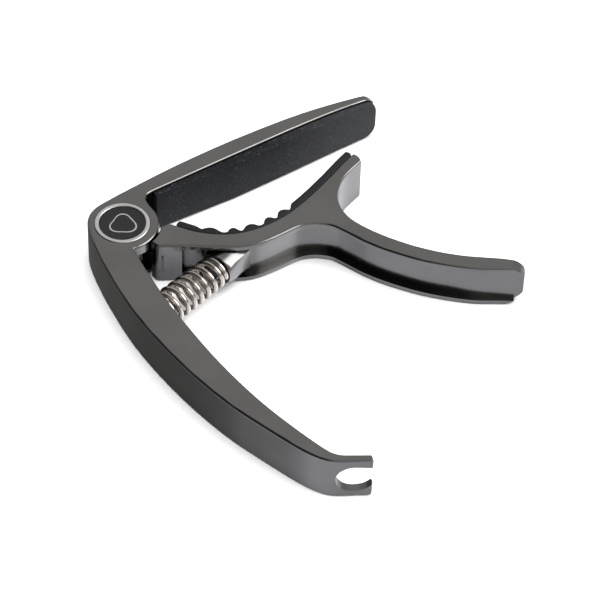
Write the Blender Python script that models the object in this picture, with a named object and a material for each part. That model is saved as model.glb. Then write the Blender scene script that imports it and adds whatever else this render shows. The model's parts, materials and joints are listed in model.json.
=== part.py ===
"""Sprung guitar capo: a cast frame and a cast jaw on one pivot pin, with rubber pads and a coil spring.

Lengths are millimetres until a mesh is made, which is in metres. Drawings have the pivot axis at (0, 0),
+X along the string bar and +Z through the thickness. The whole object is then moved so that its box is
centred on the world origin and rests on z = 0.
"""

import math

import bmesh
import bpy
from mathutils import Vector

MM = 0.001

# Driving dimensions
THICKNESS = 13.0
EDGE_RADIUS = 0.6
TOUCH_GAP = 0.15
TURN_STEPS = 40

HUB_RADIUS = 9.3
SLOT_RADIUS = 7.8
SLOT_LOW = 3.0
SLOT_HIGH = 10.0
KNUCKLE_RADIUS = 7.3
KNUCKLE_LOW = 3.9
KNUCKLE_HIGH = 9.1
WASHER_THICKNESS = 0.5
WASHER_RADIUS = 6.9
PIN_RADIUS = 2.6
PIN_HEAD_RADIUS = 4.0
BUSH_RADIUS = 3.4
BORE_CLEARANCE = 0.15

BADGE_RADIUS = 7.0
BADGE_INNER_RADIUS = 6.15
BADGE_SEAT = 11.9
RETAINER_SEAT = 10.9
RETAINER_RADIUS = 4.2

FLANGE_THICKNESS = 1.5
CHANNEL_DEPTH = 2.0
CHANNEL_END_DEPTH = 0.9
CHANNEL_TAPER = 22.0
HANDLE_END_ANGLE = math.radians(-37.0)
HANDLE_TIP = (79.9, -64.6)
HANDLE_TOP_RADIUS = 5.6
HANDLE_LOW_RADIUS = 7.4
BAR_TIP = (80.7, 5.9)
BAR_TIP_TOP_RADIUS = 4.6
BAR_TIP_LOW_RADIUS = 3.6
PAD_TIP_RADIUS = 3.3
PAD_EDGE_RADIUS = 0.4

SPRING_START_RADIUS = 4.7
SPRING_END_RADIUS = 4.35
WIRE_RADIUS = 0.66
SPRING_TURNS = 8.5
SPRING_END_PITCH = 1.45
SPRING_LENGTH = 21.0
SPRING_ANGLE = math.radians(15.0)
SPRING_SEAT = (15.4, -20.85)
SPRING_POCKET_RADIUS = 5.1
SPRING_GROOVE_RADIUS = 5.0

BOSS_RADIUS = 4.3
# The front edge of the boss's rib, and the points where its back runs into the jaw
BOSS_RIB = [(17.3, -24.3), (24.3, -22.0)]
BOSS_RIB_LOW = 3.4
BOSS_RIB_HIGH = 9.6
BOSS_BACK = [(18.0, -19.4), (23.0, -19.4)]

FORK_ANGLE = math.radians(-30.8)
FORK_TIP = (11.4, -97.2)
FORK_BORE_RADIUS = 4.35
FORK_BORE_SETBACK = 4.65
FORK_BORE_HEIGHT = 6.2

# The string bar's top, the shoulder and the long arm's outer side, from the bar's tip to the fork
FRAME_OUTER = [
    (80.7, 6.5), (78.2, 7.4), (75.0, 8.15), (70.0, 9.05), (60.0, 10.4), (48.0, 11.1), (36.0, 11.3),
    (22.0, 10.9), (10.0, 10.0), (2.0, 9.25), (-3.2, 8.35), (-6.2, 6.45), (-8.1, 3.4), (-9.4, -0.4),
    (-11.1, -8.5), (-12.15, -16.0), (-13.0, -25.0), (-13.1, -34.0), (-12.4, -45.0), (-11.0, -55.5),
    (-8.8, -65.85), (-5.75, -75.6), (-2.3, -85.35), (-0.4, -89.4), (1.6, -92.35), (4.0, -94.3), (7.1, -96.0),
    (11.2, -98.45),
]
# The fork's upper side and the long arm's inner side, up to the notch below the hub
FRAME_INNER = [
    (12.1, -96.5), (8.1, -94.05), (5.5, -92.4), (4.1, -90.85), (3.3, -89.1), (0.7, -79.9), (-1.85, -67.95),
    (-3.45, -54.7), (-4.0, -42.0), (-3.85, -27.0), (-2.9, -16.5), (-2.0, -9.08),
]
# The bar's lower side, which carries the string pad, from the corner beside the hub to the tip
BAR_LOWER = [
    (9.4, 5.9), (12.9, 5.93), (30.0, 6.2), (50.0, 6.4), (58.0, 6.45), (66.0, 6.3), (72.0, 5.95),
    (77.2, 5.5), (80.7, 5.2),
]
PAD_INSET = 0.4
PAD_START = 12.6
PAD_END = 80.0
STRING_PAD_FACE = [(12.7, 3.15), (30.0, 3.1), (47.0, 3.3), (58.0, 3.6), (68.0, 3.95), (80.0, 4.1)]

# The jaw's upper side, which carries the neck pad, from its tip to the block beside the hub
JAW_UPPER = [
    (64.7, -8.95), (59.0, -11.1), (54.2, -13.2), (49.4, -15.1), (44.7, -16.85), (41.0, -17.95),
    (37.5, -18.85), (33.5, -19.3), (29.5, -19.3), (26.3, -18.85), (23.0, -17.95), (20.0, -16.5),
    (17.0, -14.4), (14.3, -11.85), (12.2, -9.1), (10.2, -6.1),
]
# The jaw's lower side, from the block's corner along the flange to the end of the handle
JAW_LOWER = [
    (3.2, -11.3), (8.0, -14.1), (13.0, -17.4), (19.75, -21.8), (23.1, -23.35), (26.2, -24.1), (30.0, -24.35),
    (38.0, -24.35), (40.9, -25.3), (43.2, -26.8), (45.0, -28.75), (46.35, -31.65), (48.65, -37.25),
    (51.0, -41.6), (53.85, -45.9), (57.6, -50.8), (62.8, -56.2), (67.6, -60.3), (72.1, -63.15),
    (77.75, -66.85),
]
# The outer side of the handle, the crotch and the underside of the jaw's tip
JAW_OUTER = [
    (80.0, -64.7), (76.8, -61.75), (74.5, -59.7), (71.8, -57.7), (67.1, -54.0), (62.9, -49.95),
    (58.95, -45.25), (56.0, -41.0), (53.5, -36.7), (51.5, -32.4), (50.3, -28.6), (50.15, -25.2),
    (51.1, -21.6), (52.6, -19.1), (54.9, -16.9), (57.4, -15.3), (60.3, -14.1), (65.0, -12.5),
]

NECK_PAD_START = 10.7
NECK_PAD_END = 64.0
NECK_PAD_BASE = 1.0
NECK_PAD_SMOOTH = 2.2
NECK_PAD_RIB = 1.5
# Each rib as the position of its middle along the jaw and its half width
NECK_RIBS = [(17.0, 2.1), (22.2, 1.5), (26.9, 2.2), (32.4, 1.7), (37.0, 2.0)]
NECK_SLOPE_END = 14.0
NECK_STRIP_START = 40.9


# Drawing helpers

def spline(points, step=0.8, flatness=0.025):
    """A smooth curve through the points (centripetal Catmull-Rom), thinned where it is nearly straight."""
    knots = [Vector(point) for point in points]
    knots = [2 * knots[0] - knots[1]] + knots + [2 * knots[-1] - knots[-2]]
    curve = []
    for a, b, c, d in zip(knots, knots[1:], knots[2:], knots[3:]):
        t1 = math.sqrt((b - a).length)
        t2 = t1 + math.sqrt((c - b).length)
        t3 = t2 + math.sqrt((d - c).length)
        count = max(2, math.ceil((c - b).length / step))
        for index in range(count):
            t = t1 + (t2 - t1) * index / count
            ab = a * (t1 - t) / t1 + b * t / t1
            bc = b * (t2 - t) / (t2 - t1) + c * (t - t1) / (t2 - t1)
            cd = c * (t3 - t) / (t3 - t2) + d * (t - t2) / (t3 - t2)
            abc = ab * (t2 - t) / t2 + bc * t / t2
            bcd = bc * (t3 - t) / (t3 - t1) + cd * (t - t1) / (t3 - t1)
            curve.append(abc * (t2 - t) / (t2 - t1) + bcd * (t - t1) / (t2 - t1))
    curve.append(knots[-2])
    return thinned(curve, flatness)


def thinned(curve, flatness):
    """The curve with the points left out that lie closer than flatness to the chord across them."""
    start, end = curve[0], curve[-1]
    chord = (end - start).normalized()
    far, index = 0.0, 0
    for number, point in enumerate(curve[1:-1], 1):
        distance = abs(chord.cross(point - start))
        if distance > far:
            far, index = distance, number
    if far <= flatness:
        return [start, end]
    return thinned(curve[: index + 1], flatness)[:-1] + thinned(curve[index:], flatness)


def arc(centre, radius, start, end, steps):
    """Points along a circular arc, with its angles in degrees."""
    points = []
    for index in range(steps + 1):
        angle = math.radians(start + (end - start) * index / steps)
        points.append(Vector((centre[0] + radius * math.cos(angle), centre[1] + radius * math.sin(angle))))
    return points


def walk(line, distance):
    """The point a distance along the line from its start, and the line from there on."""
    for index, (start, end) in enumerate(zip(line, line[1:])):
        length = (end - start).length
        if distance < length:
            point = start + (end - start) * distance / length
            return point, [point] + line[index + 1:]
        distance -= length
    return line[-1], [line[-1]]


def joined(sections, roundings, steps=4):
    """A closed outline from sections that meet at corners, each corner rounded over its own distance."""
    sections = [[Vector(point) for point in section] for section in sections]
    outline = []
    for number, section in enumerate(sections):
        before = roundings[number - 1]
        after = roundings[number]
        trimmed = walk(section, before)[1] if before else section
        if after:
            trimmed = walk(trimmed[::-1], after)[1][::-1]
        outline += trimmed
        following = sections[(number + 1) % len(sections)]
        corner = (section[-1] + following[0]) / 2
        if after:
            start = trimmed[-1]
            end = walk(following, after)[0]
            for index in range(1, steps):
                t = index / steps
                start_side = start.lerp(corner, t)
                end_side = corner.lerp(end, t)
                outline.append(start_side.lerp(end_side, t))
    clean = []
    for point in outline:
        if not clean or (point - clean[-1]).length > 0.02:
            clean.append(point)
    if (clean[0] - clean[-1]).length < 0.02:
        clean.pop()
    return clean


def offset(outline, distance, closed=True):
    """The outline moved to its right by the distance, which is outwards when it runs anticlockwise."""
    moved = []
    count = len(outline)
    for index, point in enumerate(outline):
        before = outline[index - 1] if closed or index else None
        after = outline[(index + 1) % count] if closed or index < count - 1 else None
        one = (point - before).normalized() if before is not None else (after - point).normalized()
        two = (after - point).normalized() if after is not None else one
        middle = (one + two).normalized()
        stretch = 1 / max(0.5, middle.dot(one))
        moved.append(point + Vector((middle.y, -middle.x)) * distance * stretch)
    return moved


# Mesh helpers

def material(name, colour, roughness, metallic):
    made = bpy.data.materials.new(name)
    made.use_nodes = True
    shader = made.node_tree.nodes["Principled BSDF"]
    shader.inputs["Base Color"].default_value = (*colour, 1.0)
    shader.inputs["Roughness"].default_value = roughness
    shader.inputs["Metallic"].default_value = metallic
    return made


def finished(name, mesh_data, parent, surface=None, location=(0, 0, 0)):
    """An object from a bmesh in millimetres, with its faces turned outwards."""
    bmesh.ops.recalc_face_normals(mesh_data, faces=mesh_data.faces)
    bmesh.ops.scale(mesh_data, vec=(MM, MM, MM), verts=mesh_data.verts)
    mesh = bpy.data.meshes.new(name)
    mesh_data.to_mesh(mesh)
    mesh_data.free()
    made = bpy.data.objects.new(name, mesh)
    bpy.context.scene.collection.objects.link(made)
    made.parent = parent
    made.location = Vector(location) * MM
    if surface:
        mesh.materials.append(surface)
        mesh.shade_smooth()
        mesh.set_sharp_from_angle(angle=math.radians(35))
    return made


def stacked(levels):
    """A closed bmesh through outlines of equal length, each a pair of its points and its height."""
    mesh_data = bmesh.new()
    rings = []
    for outline, height in levels:
        rings.append([mesh_data.verts.new((point[0], point[1], height)) for point in outline])
    count = len(rings[0])
    for lower, upper in zip(rings, rings[1:]):
        for index in range(count):
            after = (index + 1) % count
            mesh_data.faces.new((lower[index], lower[after], upper[after], upper[index]))
    mesh_data.faces.new(rings[0][::-1])
    mesh_data.faces.new(rings[-1])
    return mesh_data


def rounded_levels(outline, low, high, radius, steps=3):
    """Levels of a plate whose upper and lower edges are rounded."""
    levels = []
    for index in range(steps + 1):
        angle = math.radians(90 * index / steps)
        inset = radius * (1 - math.sin(angle))
        levels.append((offset(outline, -inset), low + radius * (1 - math.cos(angle))))
    for index in range(steps, -1, -1):
        angle = math.radians(90 * index / steps)
        inset = radius * (1 - math.sin(angle))
        levels.append((offset(outline, -inset), high - radius * (1 - math.cos(angle))))
    return levels


def plate(name, outline, low, high, parent, surface=None, radius=0.0):
    if radius:
        levels = rounded_levels(outline, low, high, radius)
    else:
        levels = [(outline, low), (outline, high)]
    return finished(name, stacked(levels), parent, surface)


def turned(name, profile, parent, surface=None, location=(0, 0, 0)):
    """A turned piece. Its profile is radius and height, closed around a hole or ending on the axis."""
    mesh_data = bmesh.new()
    rings = []
    for radius, height in profile:
        if radius == 0:
            rings.append([mesh_data.verts.new((0, 0, height))])
            continue
        circle = arc((0, 0), radius, 0, 360 - 360 / TURN_STEPS, TURN_STEPS - 1)
        rings.append([mesh_data.verts.new((point.x, point.y, height)) for point in circle])
    pairs = list(zip(rings, rings[1:]))
    if profile[0][0] != 0:
        pairs.append((rings[-1], rings[0]))
    for one, two in pairs:
        for index in range(TURN_STEPS):
            after = (index + 1) % TURN_STEPS
            if len(one) == 1:
                mesh_data.faces.new((one[0], two[index], two[after]))
            elif len(two) == 1:
                mesh_data.faces.new((one[index], one[after], two[0]))
            else:
                mesh_data.faces.new((one[index], one[after], two[after], two[index]))
    return finished(name, mesh_data, parent, surface, location)


def along_axis(start, direction, radii, steps=28):
    """A closed bmesh of a round bar along a level axis. Its radii are pairs of distance and radius."""
    side = Vector((-direction.y, direction.x))
    mesh_data = bmesh.new()
    rings = []
    for distance, radius in radii:
        ring = []
        for index in range(steps):
            angle = 2 * math.pi * index / steps
            place = start.to_2d() + direction * distance + side * radius * math.cos(angle)
            ring.append(mesh_data.verts.new((place.x, place.y, start.z + radius * math.sin(angle))))
        rings.append(ring)
    for one, two in zip(rings, rings[1:]):
        for index in range(steps):
            after = (index + 1) % steps
            mesh_data.faces.new((one[index], one[after], two[after], two[index]))
    mesh_data.faces.new(rings[0][::-1])
    mesh_data.faces.new(rings[-1])
    return mesh_data


def upright(profile, origin, angle, half_width):
    """A closed bmesh of a profile drawn along a level direction and up, extruded to both sides of it."""
    along = Vector((math.cos(angle), math.sin(angle)))
    side = Vector((-along.y, along.x))
    mesh_data = bmesh.new()
    rings = []
    for shift in (-half_width, half_width):
        ring = []
        for distance, height in profile:
            place = Vector(origin) + along * distance + side * shift
            ring.append(mesh_data.verts.new((place.x, place.y, height)))
        rings.append(ring)
    count = len(profile)
    for index in range(count):
        after = (index + 1) % count
        mesh_data.faces.new((rings[0][index], rings[0][after], rings[1][after], rings[1][index]))
    mesh_data.faces.new(rings[0][::-1])
    mesh_data.faces.new(rings[1])
    return mesh_data


def combine(target, tool, operation):
    """Adds the tool to the target, or cuts it away, and keeps the tool out of the finished object."""
    tool.hide_render = True
    tool.display_type = "WIRE"
    modifier = target.modifiers.new(tool.name, "BOOLEAN")
    modifier.operation = operation
    modifier.solver = "EXACT"
    modifier.object = tool


def corner_profile(reach, edge, radius, up, steps=6):
    """What a rounded corner takes off the end of a plate: its end is at reach and its face at edge."""
    margin = 3.0
    centre = (reach - radius, edge - up * radius)
    outside = edge + up * margin
    points = [(centre[0], outside), (reach + margin, outside), (reach + margin, centre[1])]
    for index in range(steps + 1):
        angle = math.radians(90 * index / steps)
        points.append((centre[0] + radius * math.cos(angle), centre[1] + up * radius * math.sin(angle)))
    return points


def round_end(target, parent, tip, angle, half_width, low, high, low_radius, high_radius):
    """Rounds a plate's lower and upper corner at its end, seen from the side."""
    for word, edge, radius, up in (("low", low, low_radius, -1), ("top", high, high_radius, 1)):
        profile = corner_profile(0.1, edge, radius, up, steps=9)
        corner = finished(f"{target.name}_end_{word}", upright(profile, tip, angle, half_width), parent)
        combine(target, corner, "DIFFERENCE")


# The frame casting

def frame_outline():
    hub = arc((0, 0), HUB_RADIUS, -102.4, 8, 22)
    hub_to_bar = [hub[-1], Vector((9.3, 3.5)), Vector(BAR_LOWER[0])]
    sections = [spline(FRAME_OUTER), spline(FRAME_INNER), hub, hub_to_bar, spline(BAR_LOWER)]
    return joined(sections, [0.75, 0.0, 0.0, 3.0, 1.0])


def fork_profile():
    """The pin puller's slot, along the fork and up: a round bore, and a mouth that the lower prong narrows."""
    centre = -FORK_BORE_SETBACK
    bore = arc((centre, FORK_BORE_HEIGHT), FORK_BORE_RADIUS, 90, 270, 14)
    hook = spline([bore[-1], (centre + 2.0, 2.25), (centre + 3.5, 3.2), (centre + 4.3, 4.1)])
    lip = [Vector((0.3, 4.15)), Vector((4.0, 4.15)), Vector((4.0, 10.4)), Vector((-0.4, 10.35))]
    return bore + hook[1:] + lip


def cut_fork(frame, parent):
    slot = finished("fork_slot", upright(fork_profile(), FORK_TIP, FORK_ANGLE, 4.0), parent)
    combine(frame, slot, "DIFFERENCE")
    round_end(frame, parent, FORK_TIP, FORK_ANGLE, 4.0, 0.0, THICKNESS, 2.2, 1.8)


def cut_hub(frame, parent):
    """The slot for the jaw's knuckle, the pin's bore, and the seats of the pin's head and the badge."""
    slot = plate("clevis_slot", arc((0, 0), SLOT_RADIUS, 0, 351, 39), SLOT_LOW, SLOT_HIGH, parent)
    combine(frame, slot, "DIFFERENCE")
    mouth = [Vector((0, 0))] + arc((0, 0), HUB_RADIUS + 0.5, -104, -14, 18)
    combine(frame, plate("clevis_mouth", mouth, SLOT_LOW, SLOT_HIGH, parent), "DIFFERENCE")
    stack = [
        (0, -1.0), (PIN_HEAD_RADIUS + 0.3, -1.0), (PIN_HEAD_RADIUS + 0.3, 1.1),
        (PIN_RADIUS + BORE_CLEARANCE, 1.1), (PIN_RADIUS + BORE_CLEARANCE, RETAINER_SEAT),
        (RETAINER_RADIUS + 0.3, RETAINER_SEAT), (RETAINER_RADIUS + 0.3, BADGE_SEAT),
        (BADGE_RADIUS + TOUCH_GAP, BADGE_SEAT), (BADGE_RADIUS + TOUCH_GAP, THICKNESS + 1), (0, THICKNESS + 1),
    ]
    combine(frame, turned("hub_bores", stack, parent), "DIFFERENCE")


def spring_direction():
    return Vector((math.cos(SPRING_ANGLE), math.sin(SPRING_ANGLE)))


def spring_start():
    seat = Vector(SPRING_SEAT) - spring_direction() * SPRING_LENGTH
    return Vector((seat.x, seat.y, THICKNESS / 2))


def make_frame(parent, surface):
    frame = plate("frame_casting", frame_outline(), 0, THICKNESS, parent, surface, EDGE_RADIUS)
    cut_hub(frame, parent)
    bore = [(0, SPRING_POCKET_RADIUS), (6, SPRING_POCKET_RADIUS)]
    pocket = along_axis(spring_start(), spring_direction(), bore)
    combine(frame, finished("spring_pocket", pocket, parent), "DIFFERENCE")
    cut_fork(frame, parent)
    round_end(frame, parent, BAR_TIP, 0.0, 4.0, 0.0, THICKNESS, BAR_TIP_LOW_RADIUS, BAR_TIP_TOP_RADIUS)
    return frame


# The jaw casting

def jaw_outline():
    cradle = arc((0, 0), HUB_RADIUS + 0.45, -38, -72, 8)
    block_top = [Vector(JAW_UPPER[-1]), cradle[0]]
    block_end = [cradle[-1], Vector(JAW_LOWER[0])]
    sections = [spline(JAW_UPPER), block_top, cradle, block_end, spline(JAW_LOWER), spline(JAW_OUTER)]
    return joined(sections, [0.8, 0.0, 0.0, 0.8, 1.2, 1.2])


def channel_outline():
    """The hollow along the jaw's lower side, between two flanges. It gets shallow towards the handle's end."""
    end = Vector(JAW_LOWER[-1])
    past = end + (end - Vector(JAW_LOWER[-2])).normalized() * 3.0
    run = spline(JAW_LOWER[1:] + [past])
    sunk = offset(run, -1.0, closed=False)
    outside = offset(run, 4.0, closed=False)
    floor = []
    for edge, inner in zip(run, sunk):
        share = min(1.0, (past - edge).length / CHANNEL_TAPER)
        depth = CHANNEL_END_DEPTH + (CHANNEL_DEPTH - CHANNEL_END_DEPTH) * share
        floor.append(edge + (inner - edge) * depth)
    return joined([floor[::-1], outside], [1.4, 0.0])


def knuckle_outline():
    disc = arc((0, 0), KNUCKLE_RADIUS, -14, 282, 32)
    return disc + [Vector((4.5, -12.4)), Vector((9.8, -7.4))]


def make_boss(parent):
    """The spring's seat on the jaw: a round face square to the spring, on a rib that runs into the channel."""
    direction = spring_direction()
    side = Vector((-direction.y, direction.x))
    mesh_data = bmesh.new()
    for index in range(16):
        angle = 2 * math.pi * (index + 0.5) / 16
        place = Vector(SPRING_SEAT) + side * BOSS_RADIUS * math.cos(angle)
        mesh_data.verts.new((place.x, place.y, THICKNESS / 2 + BOSS_RADIUS * math.sin(angle)))
    for x, y in BOSS_RIB:
        for height in (BOSS_RIB_LOW, BOSS_RIB_HIGH):
            mesh_data.verts.new((x, y, height))
    for x, y in BOSS_BACK:
        for height in (FLANGE_THICKNESS + 0.1, THICKNESS - FLANGE_THICKNESS - 0.1):
            mesh_data.verts.new((x, y, height))
    bmesh.ops.convex_hull(mesh_data, input=mesh_data.verts)
    return finished("spring_boss", mesh_data, parent)


def make_jaw(parent, surface):
    jaw = plate("jaw_casting", jaw_outline(), 0, THICKNESS, parent, surface, EDGE_RADIUS)
    ends = (0.0, THICKNESS, HANDLE_LOW_RADIUS, HANDLE_TOP_RADIUS)
    round_end(jaw, parent, HANDLE_TIP, HANDLE_END_ANGLE, 7.0, *ends)
    channel = plate("channel", channel_outline(), FLANGE_THICKNESS, THICKNESS - FLANGE_THICKNESS, parent)
    combine(jaw, channel, "DIFFERENCE")
    direction = spring_direction()
    rim = [(0, SPRING_GROOVE_RADIUS), (SPRING_LENGTH + 0.6, SPRING_GROOVE_RADIUS)]
    groove = along_axis(spring_start(), direction, rim)
    combine(jaw, finished("spring_groove", groove, parent), "DIFFERENCE")
    combine(jaw, make_boss(parent), "UNION")
    stub = along_axis(spring_start(), direction, [(SPRING_LENGTH - 2.2, 1.9), (SPRING_LENGTH + 1.0, 2.6)], 16)
    combine(jaw, finished("spring_stub", stub, parent), "UNION")
    combine(jaw, plate("knuckle", knuckle_outline(), KNUCKLE_LOW, KNUCKLE_HIGH, parent), "UNION")
    bore = BUSH_RADIUS + BORE_CLEARANCE
    cutter = turned("knuckle_bore", [(0, 1.0), (bore, 1.0), (bore, 12.0), (0, 12.0)], parent)
    combine(jaw, cutter, "DIFFERENCE")
    return jaw


# The rubber pads

def height_at(line, x):
    """How high a line drawn from left to right is at a place along it."""
    for start, end in zip(line, line[1:]):
        if start.x <= x <= end.x:
            return start.y + (end.y - start.y) * (x - start.x) / (end.x - start.x)
    return line[-1].y


def cross_section(mesh_data, x, face, back, low, high, radius, steps=2):
    """A ring of vertices round a bar along X: a rectangle with rounded corners."""
    ring = []
    corners = (
        (face, low, 1, 1, 180),
        (back, low, -1, 1, 270),
        (back, high, -1, -1, 0),
        (face, high, 1, -1, 90),
    )
    for y, z, inward, upward, start in corners:
        for index in range(steps + 1):
            angle = math.radians(start + 90 * index / steps)
            across = y + inward * radius + radius * math.cos(angle)
            height = z + upward * radius + radius * math.sin(angle)
            ring.append(mesh_data.verts.new((x, across, height)))
    return ring


def make_string_pad(parent, surface):
    face = spline(STRING_PAD_FACE)
    back = spline(BAR_LOWER)
    tip = PAD_END - PAD_TIP_RADIUS
    stations = [(PAD_START, 0.0)] + [(point.x, 0.0) for point in back if PAD_START < point.x < tip]
    for index in range(9):
        angle = math.radians(90 * index / 8)
        stations.append((tip + PAD_TIP_RADIUS * math.sin(angle), PAD_TIP_RADIUS * (1 - math.cos(angle))))
    mesh_data = bmesh.new()
    rings = []
    for x, inset in stations:
        sides = (height_at(face, x), height_at(back, x) - TOUCH_GAP)
        levels = (PAD_INSET + inset, THICKNESS - PAD_INSET - inset)
        rings.append(cross_section(mesh_data, x, *sides, *levels, PAD_EDGE_RADIUS))
    count = len(rings[0])
    for one, two in zip(rings, rings[1:]):
        for index in range(count):
            after = (index + 1) % count
            mesh_data.faces.new((one[index], one[after], two[after], two[index]))
    mesh_data.faces.new(rings[0][::-1])
    mesh_data.faces.new(rings[-1])
    return finished("string_pad", mesh_data, parent, surface)


def neck_pad_height(along):
    """The pad's thickness at a place along the jaw: a smooth slope, five ribs, then a smooth strip."""
    height = NECK_PAD_BASE
    extra = NECK_PAD_SMOOTH - NECK_PAD_BASE
    height = max(height, NECK_PAD_BASE + extra * min(1, max(0, (NECK_SLOPE_END + 1.6 - along) / 1.6)))
    height = max(height, NECK_PAD_BASE + extra * min(1, max(0, (along - NECK_STRIP_START + 1.5) / 1.5)))
    for middle, half_width in NECK_RIBS:
        reach = abs(along - middle) / half_width
        if reach < 1:
            height = max(height, NECK_PAD_BASE + NECK_PAD_RIB * (1 - reach ** 2) ** 0.8)
    return height


def make_neck_pad(parent, surface):
    seat = spline(JAW_UPPER[::-1], step=0.45, flatness=0.0)
    seat = [point for point in seat if NECK_PAD_START < point.x < NECK_PAD_END]
    back = offset(seat, -TOUCH_GAP, closed=False)
    face = []
    for index, point in enumerate(seat):
        before = seat[max(0, index - 1)]
        after = seat[min(len(seat) - 1, index + 1)]
        run = (after - before).normalized()
        face.append(point + Vector((-run.y, run.x)) * neck_pad_height(point.x))
    outline = joined([thinned(back, 0.02), thinned(face, 0.03)[::-1]], [0.6, 0.6])
    return plate("neck_pad", outline, PAD_INSET, THICKNESS - PAD_INSET, parent, surface, 0.35)


# The pivot, the badge and the spring

def ring_profile(inner, outer, low, high):
    return [(inner, low), (outer, low), (outer, high), (inner, high)]


def make_pivot(frame_parent, jaw_parent, steel, nylon):
    head_low, head_high = 0.2, 0.95
    pin = [
        (0, head_low), (PIN_HEAD_RADIUS - 0.4, head_low), (PIN_HEAD_RADIUS, head_low + 0.3),
        (PIN_HEAD_RADIUS, head_high), (PIN_RADIUS, head_high), (PIN_RADIUS, 11.5), (2.3, 11.75), (0, 11.75),
    ]
    turned("pivot_pin", pin, frame_parent, steel)
    bush = ring_profile(PIN_RADIUS + BORE_CLEARANCE, BUSH_RADIUS, KNUCKLE_LOW, KNUCKLE_HIGH)
    turned("pivot_bush", bush, jaw_parent, nylon)
    for name, low in (("washer_lower", SLOT_LOW + 0.2), ("washer_upper", KNUCKLE_HIGH + 0.2)):
        washer = ring_profile(PIN_RADIUS + BORE_CLEARANCE, WASHER_RADIUS, 0, WASHER_THICKNESS)
        turned(name, washer, frame_parent, nylon, (0, 0, low))


def make_retainer(parent, surface):
    """A snap ring on the pin's upper end, open on one side."""
    outer = arc((0, 0), RETAINER_RADIUS, 25, 335, 30)
    inner = arc((0, 0), PIN_RADIUS + BORE_CLEARANCE, 335, 25, 30)
    return plate("snap_ring", outer + inner, RETAINER_SEAT + 0.15, RETAINER_SEAT + 0.75, parent, surface)


def make_badge(parent, bright, dark):
    low = BADGE_SEAT + 0.15
    ring = [
        (BADGE_INNER_RADIUS, low), (BADGE_RADIUS, low), (BADGE_RADIUS, 13.0), (6.8, 13.2), (6.35, 13.2),
        (BADGE_INNER_RADIUS, 13.0),
    ]
    turned("badge_ring", ring, parent, bright)
    disc_radius = BADGE_INNER_RADIUS - TOUCH_GAP
    turned("badge_disc", [(0, low), (disc_radius, low), (disc_radius, 12.8), (0, 12.8)], parent, dark)


def make_spring(parent, surface, around=18, sides=6):
    """The coil, wound about its own axis with close turns at both ends, then laid along the seats' axis."""
    length = SPRING_LENGTH - 0.4
    travel = length - 2 * WIRE_RADIUS - 2 * SPRING_END_PITCH
    pitch = travel / (SPRING_TURNS - 2)
    direction = spring_direction().to_3d()
    side = Vector((-direction.y, direction.x, 0))
    up = Vector((0, 0, 1))
    begin = spring_start() + direction * (0.2 + WIRE_RADIUS)
    mesh_data = bmesh.new()
    rings = []
    for index in range(int(SPRING_TURNS * around) + 1):
        turn = index / around
        height = SPRING_END_PITCH * min(turn, 1) + pitch * min(max(turn - 1, 0), SPRING_TURNS - 2)
        height += SPRING_END_PITCH * max(turn - SPRING_TURNS + 1, 0)
        angle = 2 * math.pi * turn
        outward = side * math.cos(angle) + up * math.sin(angle)
        outer_radius = SPRING_START_RADIUS + (SPRING_END_RADIUS - SPRING_START_RADIUS) * height / length
        coil_radius = outer_radius - WIRE_RADIUS
        middle = begin + direction * height + outward * coil_radius
        ring = []
        for corner in range(sides):
            tilt = 2 * math.pi * corner / sides
            place = middle + (outward * math.cos(tilt) + direction * math.sin(tilt)) * WIRE_RADIUS
            ring.append(mesh_data.verts.new(place))
        rings.append(ring)
    for one, two in zip(rings, rings[1:]):
        for corner in range(sides):
            after = (corner + 1) % sides
            mesh_data.faces.new((one[corner], one[after], two[after], two[corner]))
    mesh_data.faces.new(rings[0][::-1])
    mesh_data.faces.new(rings[-1])
    return finished("spring", mesh_data, parent, surface)


def centre_of_box():
    points = frame_outline() + jaw_outline()
    across = [point.x for point in points]
    along = [point.y for point in points]
    return Vector(((min(across) + max(across)) / 2, (min(along) + max(along)) / 2))


def main():
    for old in list(bpy.data.objects):
        bpy.data.objects.remove(old)
    middle = centre_of_box()
    parents = []
    for name in ("frame_axis", "jaw_axis"):
        empty = bpy.data.objects.new(name, None)
        bpy.context.scene.collection.objects.link(empty)
        empty.location = (-middle.x * MM, -middle.y * MM, 0)
        parents.append(empty)
    frame_axis, jaw_axis = parents

    casting = material("plated_zinc", (0.125, 0.118, 0.112), 0.38, 0.9)
    jaw_casting = material("plated_zinc_jaw", (0.125, 0.118, 0.112), 0.38, 0.9)
    rubber = material("string_rubber", (0.022, 0.024, 0.028), 0.75, 0.0)
    ribbed = material("neck_rubber", (0.03, 0.031, 0.035), 0.75, 0.0)
    steel = material("pin_steel", (0.45, 0.45, 0.46), 0.3, 1.0)
    nylon = material("nylon", (0.75, 0.74, 0.7), 0.5, 0.0)
    ring_metal = material("badge_silver", (0.62, 0.61, 0.59), 0.3, 1.0)
    black = material("badge_black", (0.018, 0.019, 0.021), 0.35, 0.0)
    nickel = material("spring_nickel", (0.6, 0.56, 0.5), 0.2, 1.0)

    make_frame(frame_axis, casting)
    make_jaw(jaw_axis, jaw_casting)
    make_string_pad(frame_axis, rubber)
    make_neck_pad(jaw_axis, ribbed)
    make_pivot(frame_axis, jaw_axis, steel, nylon)
    make_retainer(frame_axis, steel)
    make_badge(frame_axis, ring_metal, black)
    make_spring(frame_axis, nickel)


main()
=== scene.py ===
import json
import math
import bmesh
import bpy
from mathutils import Matrix, Vector


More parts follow.
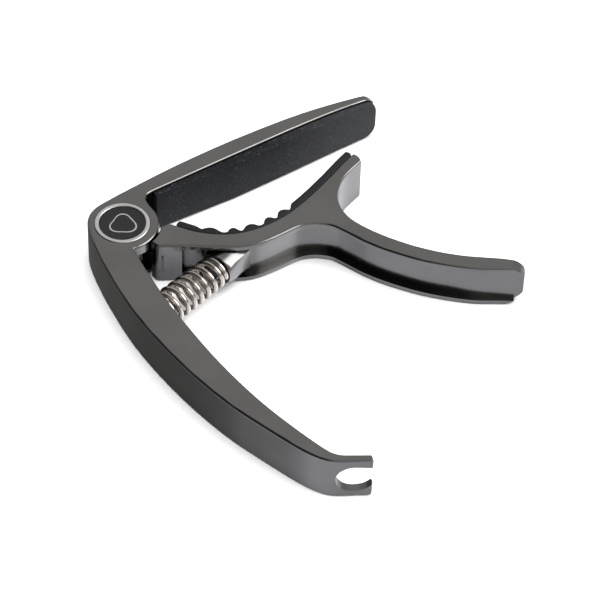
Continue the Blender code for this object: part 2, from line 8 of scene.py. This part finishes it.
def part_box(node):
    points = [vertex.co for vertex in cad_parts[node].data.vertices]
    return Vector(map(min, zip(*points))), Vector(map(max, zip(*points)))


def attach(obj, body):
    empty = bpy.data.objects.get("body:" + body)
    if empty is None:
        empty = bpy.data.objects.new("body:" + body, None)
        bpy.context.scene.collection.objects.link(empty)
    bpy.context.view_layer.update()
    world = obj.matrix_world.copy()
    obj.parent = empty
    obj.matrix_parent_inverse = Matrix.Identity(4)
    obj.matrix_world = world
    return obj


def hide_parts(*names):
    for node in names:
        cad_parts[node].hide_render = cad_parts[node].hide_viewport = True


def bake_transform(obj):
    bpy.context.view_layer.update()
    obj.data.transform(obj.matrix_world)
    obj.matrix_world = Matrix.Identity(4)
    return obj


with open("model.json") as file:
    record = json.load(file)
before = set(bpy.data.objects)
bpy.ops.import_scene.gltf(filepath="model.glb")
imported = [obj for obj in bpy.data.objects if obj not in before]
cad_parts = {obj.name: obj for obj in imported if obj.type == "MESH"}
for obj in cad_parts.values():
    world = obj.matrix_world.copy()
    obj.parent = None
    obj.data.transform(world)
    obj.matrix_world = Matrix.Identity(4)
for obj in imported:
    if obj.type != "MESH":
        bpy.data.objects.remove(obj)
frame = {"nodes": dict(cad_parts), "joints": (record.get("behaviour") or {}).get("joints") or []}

MM = 0.001
UP = Vector((0, 0, 1))

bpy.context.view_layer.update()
nodes = frame["nodes"]
hub = Vector(frame["joints"][0]["pos_m"])
hub.z = 0.0
scene = bpy.context.scene

# The studio that the plating mirrors: patches of light and dark, each at a direction seen from the capo,
# full within the first angle and gone beyond the second, in degrees.
GROUND_SHADE = (0.81, 0.815, 0.86)
STUDIO = [
    ((0.00, 0.00, 1.00), 84, 92, (0.42, 0.418, 0.415)),
    ((-0.25, 0.70, -0.67), 18, 52, (0.14, 0.138, 0.135)),
    ((0.63, -0.23, -0.73), 15, 42, (1.40, 1.40, 1.47)),
    ((0.38, 0.56, 0.73), 12, 34, (0.52, 0.512, 0.505)),
    ((-0.80, 0.20, 0.50), 40, 54, (0.04, 0.04, 0.045)),
    ((0.62, -0.46, 0.66), 16, 27, (4.2, 4.18, 4.14)),
]

# The spring's coil, in millimetres from the hub: its foot, its winding and its wire.
COIL_FOOT = Vector((-4.885, -26.285, 6.5))
COIL_ANGLE = math.radians(15.0)
COIL_LENGTH = 20.6
COIL_TURNS = 8.5
COIL_END_PITCH = 1.45
COIL_START_RADIUS = 4.7
COIL_END_RADIUS = 4.35
WIRE_RADIUS = 0.66

# How fine a finish is: its grain's depth and a rubbed edge's width; and how far painted shade reaches out of
# a recess.
FINE_DEPTH = 0.02 * MM
WEAR_WIDTH = 0.2 * MM
SHADE_REACH = 12 * MM


# Shader trees

def scaled(colour, factor):
    return [factor * value for value in colour]


def add(tree, kind, inputs, **settings):
    """A new shader node with its settings, and its inputs as plain values or as sockets to link."""
    node = tree.nodes.new(kind)
    for name, value in settings.items():
        setattr(node, name, value)
    for key, value in inputs.items():
        if isinstance(value, bpy.types.NodeSocket):
            tree.links.new(value, node.inputs[key])
        else:
            node.inputs[key].default_value = value
    return node


def mixed(tree, share, one, two):
    """A colour between two others, each a socket or three numbers."""
    one, two = [value if isinstance(value, bpy.types.NodeSocket) else (*value, 1.0) for value in (one, two)]
    node = add(tree, "ShaderNodeMix", {}, data_type="RGBA")
    for index, value in ((0, share), (6, one), (7, two)):
        if isinstance(value, bpy.types.NodeSocket):
            tree.links.new(value, node.inputs[index])
        else:
            node.inputs[index].default_value = value
    return node.outputs[2]


def spread(tree, value, low, high, to_low, to_high):
    """A value carried smoothly from one range to another and held at both ends."""
    inputs = {"Value": value, "From Min": low, "From Max": high, "To Min": to_low, "To Max": to_high}
    return add(tree, "ShaderNodeMapRange", inputs, interpolation_type="SMOOTHSTEP").outputs["Result"]


def vector_math(tree, operation, *vectors):
    """The result of a vector sum, as a vector or, for a dot product or a length, as a value."""
    node = add(tree, "ShaderNodeVectorMath", dict(enumerate(vectors)), operation=operation)
    return node.outputs["Value" if operation in ("DOT_PRODUCT", "LENGTH") else "Vector"]


def noise(tree, place, scale, detail=2.0):
    inputs = {"Vector": place, "Scale": scale, "Detail": detail}
    return add(tree, "ShaderNodeTexNoise", inputs).outputs[0]


def worn_edges(tree, radius, turn):
    """1 where the surface turns sharply within a radius, and 0 on open surface."""
    rounded = add(tree, "ShaderNodeBevel", {"Radius": radius}, samples=4).outputs["Normal"]
    plain = add(tree, "ShaderNodeNewGeometry", {}).outputs["Normal"]
    match = vector_math(tree, "DOT_PRODUCT", rounded, plain)
    return spread(tree, match, 1.0 - turn, 0.995, 1.0, 0.0)


def new_material(name):
    """A material's tree, its surface shader and the object's own coordinates, in metres."""
    material = bpy.data.materials.new(name)
    material.use_nodes = True
    tree = material.node_tree
    surface = tree.nodes["Principled BSDF"]
    place = add(tree, "ShaderNodeTexCoord", {}).outputs["Object"]
    return material, tree, surface, place


def bumped(tree, surface, height, strength, depth):
    bump = add(tree, "ShaderNodeBump", {"Height": height, "Strength": strength, "Distance": depth})
    tree.links.new(bump.outputs["Normal"], surface.inputs["Normal"])


def metal(name, shades, roughness, grain_scale, recess_shade=0.85):
    """A plated metal: cloudy between two shades, rubbed to a third at its edges, with painted shade darkening
    its recesses.
    """
    dull, bright, edge = shades
    material, tree, surface, place = new_material(name)
    surface.inputs["Metallic"].default_value = 1.0
    cloud = spread(tree, noise(tree, place, 70.0, 4.0), 0.3, 0.7, 0.0, 1.0)
    grain = noise(tree, place, grain_scale, 3.0)
    colour = mixed(tree, cloud, dull, bright)
    speck = spread(tree, grain, 0.62, 0.75, 0.0, 0.25)
    colour = mixed(tree, speck, colour, edge)
    wear = {0: worn_edges(tree, WEAR_WIDTH, 0.12), 1: 0.35}
    rubbed = add(tree, "ShaderNodeMath", wear, operation="MULTIPLY").outputs[0]
    colour = mixed(tree, rubbed, colour, edge)
    # Painted shade: ambient occlusion darkens the colour in recesses and between parts, standing in for the
    # shade that falls there.
    open_air = add(tree, "ShaderNodeAmbientOcclusion", {"Distance": SHADE_REACH}, samples=4).outputs["AO"]
    painted_shade = spread(tree, open_air, 0.2, 0.6, recess_shade, 0.0)
    colour = mixed(tree, painted_shade, colour, scaled(dull, 0.12))
    tree.links.new(colour, surface.inputs["Base Color"])
    gloss = spread(tree, grain, 0.3, 0.7, roughness[0], roughness[1])
    tree.links.new(gloss, surface.inputs["Roughness"])
    bumped(tree, surface, grain, 0.05, FINE_DEPTH)
    return material


def rubber(name, dark, light, speckle_scale, roughness, sheen_span=(0.0, 1.0), sheen_strength=0.0):
    """Moulded rubber: a matt pitted skin with pale speckle, and a painted sheen that lightens it between two
    x.
    """
    material, tree, surface, place = new_material(name)
    surface.inputs["Specular IOR Level"].default_value = 0.3
    cloud = spread(tree, noise(tree, place, 120.0, 3.0), 0.3, 0.7, 0.0, 0.5)
    speck = noise(tree, place, speckle_scale, 2.0)
    pale = spread(tree, speck, 0.60, 0.72, 0.0, 1.0)
    # Painted sheen: the colour grows lighter along x, standing in for light glancing off the rubber.
    along = add(tree, "ShaderNodeSeparateXYZ", {0: place}).outputs[0]
    painted_sheen = spread(tree, along, sheen_span[0], sheen_span[1], 0.0, sheen_strength)
    colour = mixed(tree, cloud, dark, scaled(dark, 1.8))
    colour = mixed(tree, painted_sheen, colour, scaled(light, 0.35))
    colour = mixed(tree, pale, colour, light)
    tree.links.new(colour, surface.inputs["Base Color"])
    gloss = spread(tree, speck, 0.3, 0.7, roughness[0], roughness[1])
    tree.links.new(gloss, surface.inputs["Roughness"])
    bumped(tree, surface, speck, 0.35, 3 * FINE_DEPTH)
    return material


def plastic(name, dark, light, roughness):
    """Moulded plastic with a faint mottle and a light texture."""
    material, tree, surface, place = new_material(name)
    mottle = noise(tree, place, 900.0, 3.0)
    tree.links.new(mixed(tree, mottle, dark, light), surface.inputs["Base Color"])
    gloss = spread(tree, mottle, 0.3, 0.7, roughness[0], roughness[1])
    tree.links.new(gloss, surface.inputs["Roughness"])
    bumped(tree, surface, mottle, 0.1, FINE_DEPTH)
    return material


def turned_steel(name, base, middle):
    """Steel turned on a lathe: fine rings round an axis along Z through the hub."""
    material, tree, surface, place = new_material(name)
    surface.inputs["Metallic"].default_value = 1.0
    about = vector_math(tree, "SUBTRACT", place, middle)
    flat = vector_math(tree, "MULTIPLY", about, (1.0, 1.0, 0.0))
    radius = vector_math(tree, "LENGTH", flat)
    rings = noise(tree, add(tree, "ShaderNodeCombineXYZ", {0: radius}).outputs[0], 9000.0)
    stain = spread(tree, noise(tree, place, 400.0, 4.0), 0.35, 0.7, 0.0, 0.5)
    colour = mixed(tree, stain, base, scaled(base, 0.6))
    tree.links.new(colour, surface.inputs["Base Color"])
    tree.links.new(spread(tree, rings, 0.3, 0.7, 0.22, 0.38), surface.inputs["Roughness"])
    bumped(tree, surface, rings, 0.15, FINE_DEPTH)
    return material


# Pieces

def mesh_object(name, mesh_data, material, smooth_angle=35.0):
    """A finished piece in the scene: faces turned outwards and smooth, except across sharp edges."""
    bmesh.ops.recalc_face_normals(mesh_data, faces=mesh_data.faces)
    mesh = bpy.data.meshes.new(name)
    mesh_data.to_mesh(mesh)
    mesh_data.free()
    mesh.shade_smooth()
    mesh.set_sharp_from_angle(angle=math.radians(smooth_angle))
    piece = bpy.data.objects.new(name, mesh)
    scene.collection.objects.link(piece)
    mesh.materials.append(material)
    return piece


def skinned(mesh_data, rings, capped=True):
    """Faces between rings of vertices, each ring joined to the next."""
    count = len(rings[0])
    for one, two in zip(rings, rings[1:]):
        for index in range(count):
            after = (index + 1) % count
            mesh_data.faces.new((one[index], one[after], two[after], two[index]))
    if capped:
        mesh_data.faces.new(rings[0][::-1])
        mesh_data.faces.new(rings[-1])


def reach(source, start, direction):
    """Where a straight line first meets a CAD node, in the row frame."""
    back = source.matrix_world.inverted()
    hit, place, _, _ = source.ray_cast(back @ start, back.to_3x3() @ direction)
    return source.matrix_world @ place if hit else None


def rounded_section(mesh_data, x, front, back, low, high, radius, steps=5):
    """A ring of vertices across a pad at x: a rectangle with round corners."""
    radius = min(radius, 0.45 * (high - low), 0.45 * (back - front))
    ring = []
    corners = (
        (front, low, 1, 1, 180),
        (back, low, -1, 1, 270),
        (back, high, -1, -1, 0),
        (front, high, 1, -1, 90),
    )
    for y, z, inward, upward, start in corners:
        for index in range(steps + 1):
            angle = math.radians(start + 90 * index / steps)
            across = y + inward * radius + radius * math.cos(angle)
            height = z + upward * radius + radius * math.sin(angle)
            ring.append(mesh_data.verts.new((x, across, height)))
    return ring


def moulded_pad(node, material, stations, radius, smoothing=0):
    """A soft pad over a CAD pad: its four sides are found at each station along X, and its edges rounded."""
    source = nodes[node]
    lowest, highest = [Vector(corner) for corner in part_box(node)]
    middle = 0.5 * (lowest.z + highest.z)
    sections = []
    for x in stations:
        front = reach(source, Vector((x, lowest.y - 0.01, middle)), Vector((0, 1, 0)))
        back = reach(source, Vector((x, highest.y + 0.01, middle)), Vector((0, -1, 0)))
        if front is None or back is None:
            continue
        inside = 0.5 * (front.y + back.y)
        low = reach(source, Vector((x, inside, -0.01)), Vector((0, 0, 1)))
        high = reach(source, Vector((x, inside, highest.z + 0.01)), Vector((0, 0, -1)))
        if low is not None and high is not None:
            sections.append([x, front.y, back.y, low.z, high.z])
    for _ in range(smoothing):
        for side in (1, 2):
            line = [section[side] for section in sections]
            for index in range(1, len(line) - 1):
                sections[index][side] = (line[index - 1] + 2 * line[index] + line[index + 1]) / 4
    mesh_data = bmesh.new()
    skinned(mesh_data, [rounded_section(mesh_data, *section, radius) for section in sections])
    return mesh_object(node + "_soft", mesh_data, material, 50.0)


def evenly(low, high, count):
    return [low + (high - low) * index / (count - 1) for index in range(count)]


def make_string_pad():
    lowest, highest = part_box("string_pad")
    edge = 0.01 * MM
    tip = 3.3 * MM
    stations = evenly(lowest[0] + edge, highest[0] - tip, 60)
    stations += [highest[0] - tip + tip * math.sin(angle) for angle in evenly(0, math.pi / 2 - 0.05, 12)[1:]]
    # The painted sheen lightens the pad towards its tip, over this span of x.
    sheen_span = (hub.x + 40 * MM, highest[0])
    dark = (0.003, 0.0037, 0.0049)
    light = (0.07, 0.073, 0.08)
    material = rubber("string_rubber", dark, light, 2400.0, (0.5, 0.75), sheen_span, 0.9)
    pad = moulded_pad("string_pad", material, stations, 0.4 * MM)
    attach(pad, "frame_body")
    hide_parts("string_pad")


def make_neck_pad():
    lowest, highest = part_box("neck_pad")
    edge = 0.01 * MM
    stations = evenly(lowest[0] + edge, highest[0] - edge, 260)
    dark = (0.007, 0.007, 0.0078)
    light = (0.022, 0.022, 0.023)
    material = rubber("neck_rubber", dark, light, 2600.0, (0.45, 0.65))
    pad = moulded_pad("neck_pad", material, stations, 0.45 * MM, smoothing=2)
    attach(pad, "jaw_body")
    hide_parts("neck_pad")


def coil_place(turn):
    """How far along the spring the wire is after so many turns, in millimetres. Its end turns are close."""
    travel = COIL_LENGTH - 2 * WIRE_RADIUS - 2 * COIL_END_PITCH
    pitch = travel / (COIL_TURNS - 2)
    height = COIL_END_PITCH * min(turn, 1) + pitch * min(max(turn - 1, 0), COIL_TURNS - 2)
    return height + COIL_END_PITCH * max(turn - COIL_TURNS + 1, 0)


def make_spring(around=48, sides=14):
    """The coil of round wire with softened cut ends."""
    direction = Vector((math.cos(COIL_ANGLE), math.sin(COIL_ANGLE), 0))
    side = UP.cross(direction)
    begin = COIL_FOOT + direction * (0.2 + WIRE_RADIUS)
    count = int(COIL_TURNS * around)
    mesh_data = bmesh.new()
    rings = []
    for index in range(count + 1):
        turn = index / around
        height = coil_place(turn)
        angle = 2 * math.pi * turn
        outward = side * math.cos(angle) + UP * math.sin(angle)
        along_radius = COIL_START_RADIUS + (COIL_END_RADIUS - COIL_START_RADIUS) * height / COIL_LENGTH
        middle = begin + direction * height + outward * (along_radius - WIRE_RADIUS)
        thick = WIRE_RADIUS if 0 < index < count else 0.8 * WIRE_RADIUS
        ring = []
        for corner in range(sides):
            tilt = 2 * math.pi * corner / sides
            place = middle + (outward * math.cos(tilt) + direction * math.sin(tilt)) * thick
            ring.append(mesh_data.verts.new(hub + place * MM))
        rings.append(ring)
    skinned(mesh_data, rings)
    shades = ((0.70, 0.64, 0.57), (0.80, 0.75, 0.69), (0.92, 0.90, 0.87))
    nickel = metal("spring_nickel", shades, (0.08, 0.14), 2500.0, recess_shade=0.45)
    piece = mesh_object("spring_wire", mesh_data, nickel)
    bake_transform(piece)
    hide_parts("spring")


def revolved(name, profile, middle, material, steps=96):
    """A closed profile of radius and height, turned about an upright line through the middle."""
    mesh_data = bmesh.new()
    rings = []
    for index in range(steps):
        angle = 2 * math.pi * index / steps
        out = Vector((math.cos(angle), math.sin(angle), 0))
        rings.append([mesh_data.verts.new(middle + out * radius + UP * height) for radius, height in profile])
    skinned(mesh_data, rings + [rings[0]], capped=False)
    return mesh_object(name, mesh_data, material)


def make_badge():
    """The badge: a bright ring, and a dark disc with a plain plectrum outline raised on it."""
    low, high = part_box("badge_ring")
    outer = 0.5 * (high[0] - low[0])
    inner = outer - 1.05 * MM
    shades = ((0.88, 0.875, 0.865), (0.93, 0.925, 0.915), (0.98, 0.975, 0.965))
    silver = metal("badge_silver", shades, (0.28, 0.36), 3000.0, recess_shade=0.3)
    make_badge_ring(outer, inner, low[2], high[2], silver)
    top = make_badge_disc(inner)
    make_mark(hub + UP * (top - 0.13 * MM), silver)


def make_badge_ring(outer, inner, bottom, top, material):
    """A ring with a low rolled rim."""
    roll = 0.5 * (outer - inner)
    crest = top - 0.35 * roll
    rim = [(outer, bottom)]
    for angle in evenly(0, math.pi, 15):
        rim.append((outer - roll + roll * math.cos(angle), crest + 0.35 * roll * math.sin(angle)))
    rim.append((inner, bottom))
    ring = revolved("badge_rim", rim, hub, material)
    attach(ring, "frame_body")
    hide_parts("badge_ring")


def make_badge_disc(inner):
    """A dark disc, dished a little towards its middle. The answer is its edge's height."""
    low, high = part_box("badge_disc")
    edge = min(0.5 * (high[0] - low[0]), inner)
    top = high[2]
    centre = 0.01 * MM
    black = plastic("badge_black", (0.0045, 0.005, 0.006), (0.008, 0.0085, 0.0095), (0.25, 0.36))
    dish = [(centre, low[2]), (edge, low[2]), (edge, top - 0.1 * MM), (edge - 0.1 * MM, top)]
    dish += [(edge - 0.5 * MM, top - 0.04 * MM), (0.55 * edge, top - 0.12 * MM), (centre, top - 0.14 * MM)]
    disc = revolved("badge_face", dish, hub, black)
    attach(disc, "frame_body")
    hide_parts("badge_disc")
    return top


def plectrum(size, points=72):
    """A rounded three-cornered outline, one corner drawn out, about its middle."""
    outline = []
    for angle in evenly(0, 2 * math.pi, points + 1)[:-1]:
        radius = size * (1 + 0.13 * math.cos(3 * angle) + 0.07 * math.cos(angle))
        outline.append(Vector((radius * math.cos(angle), radius * math.sin(angle), 0)))
    return outline


def make_mark(middle, material):
    """A thin raised line in a plectrum's outline, pointing across the hub."""
    turn = Matrix.Rotation(math.radians(-60), 4, "Z")
    mesh_data = bmesh.new()
    rings = []
    for outer_point, inner_point in zip(plectrum(3.3 * MM), plectrum(2.95 * MM)):
        section = [outer_point, outer_point + UP * 0.07 * MM, inner_point + UP * 0.07 * MM, inner_point]
        rings.append([mesh_data.verts.new(middle + turn @ point) for point in section])
    skinned(mesh_data, rings + [rings[0]], capped=False)
    mark = mesh_object("badge_mark", mesh_data, material)
    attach(mark, "frame_body")


def finish_node(name, material):
    """A CAD node that keeps its shape gets a better finish, and smooth shading up to its sharp edges."""
    node = nodes[name]
    for slot in node.material_slots:
        slot.material = material
    for face in node.data.polygons:
        face.use_smooth = True
    weld = node.modifiers.new("weld", "WELD")
    weld.merge_threshold = 0.001 * MM
    split = node.modifiers.new("sharp_edges", "EDGE_SPLIT")
    split.split_angle = math.radians(36.0)
    split.use_edge_sharp = False
    even = node.modifiers.new("even_normals", "WEIGHTED_NORMAL")
    even.weight = 50


def finish_castings_and_pin():
    shades = ((0.232, 0.229, 0.226), (0.258, 0.255, 0.252), (0.42, 0.415, 0.41))
    for name, plating in (("frame_casting", "frame_plating"), ("jaw_casting", "jaw_plating")):
        finish_node(name, metal(plating, shades, (0.17, 0.25), 5200.0))
    finish_node("pivot_pin", turned_steel("pin_steel", (0.52, 0.52, 0.53), hub))
    finish_node("snap_ring", turned_steel("ring_steel", (0.40, 0.40, 0.41), hub))
    nylon = plastic("nylon", (0.70, 0.69, 0.64), (0.78, 0.77, 0.73), (0.4, 0.55))
    for name in ("pivot_bush", "washer_lower", "washer_upper"):
        finish_node(name, nylon)


# Studio and camera

def paint_studio():
    world = bpy.data.worlds.new("studio")
    world.use_nodes = True
    scene.world = world
    tree = world.node_tree
    direction = add(tree, "ShaderNodeTexCoord", {}).outputs["Generated"]
    colour = GROUND_SHADE
    for towards, full, gone, shade in STUDIO:
        aim = Vector(towards).normalized()
        match = vector_math(tree, "DOT_PRODUCT", direction, aim)
        share = spread(tree, match, math.cos(math.radians(gone)), math.cos(math.radians(full)), 0.0, 1.0)
        colour = mixed(tree, share, colour, shade)
    tree.links.new(colour, tree.nodes["Background"].inputs["Color"])


def make_floor():
    """A plain pale floor under the capo, evenly lit from above."""
    mesh_data = bmesh.new()
    bmesh.ops.create_grid(mesh_data, x_segments=1, y_segments=1, size=2.0)
    material, tree, surface, place = new_material("floor_paper")
    surface.inputs["Roughness"].default_value = 0.9
    surface.inputs["Specular IOR Level"].default_value = 0.0
    tone = spread(tree, noise(tree, place, 3.0), 0.3, 0.7, 0.90, 0.94)
    tree.links.new(tone, surface.inputs["Base Color"])
    floor = mesh_object("floor", mesh_data, material)
    floor.location.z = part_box("frame_casting")[0][2] - 0.02 * MM
    floor.visible_glossy = False
    data = bpy.data.lights.new("overhead", "AREA")
    data.size = 1.6
    data.energy = 34.0
    overhead = bpy.data.objects.new("overhead", data)
    scene.collection.objects.link(overhead)
    overhead.location = (0, 0, 1.3)
    overhead.visible_glossy = False


def make_camera():
    pitch = math.radians(47.2)
    azimuth = math.radians(34.3)
    roll = math.radians(2.0)
    ahead = Vector((math.sin(azimuth), math.cos(azimuth), 0))
    across = Vector((math.cos(azimuth), -math.sin(azimuth), 0))
    forward = ahead * math.cos(pitch) - UP * math.sin(pitch)
    up = ahead * math.sin(pitch) + UP * math.cos(pitch)
    right = across * math.cos(roll) + up * math.sin(roll)
    top = up * math.cos(roll) - across * math.sin(roll)
    data = bpy.data.cameras.new("camera")
    data.lens = 179.7
    data.sensor_width = 36.0
    data.clip_start = 0.05
    data.clip_end = 10.0
    camera = bpy.data.objects.new("camera", data)
    scene.collection.objects.link(camera)
    place = hub + Vector((-0.259326, -0.461033, 0.555675))
    turn = Matrix((right, top, -forward)).transposed().to_4x4()
    camera.matrix_world = Matrix.Translation(place) @ turn
    scene.camera = camera


make_string_pad()
make_neck_pad()
make_spring()
make_badge()
finish_castings_and_pin()
make_floor()
paint_studio()
make_camera()
scene.view_settings.view_transform = "Standard"
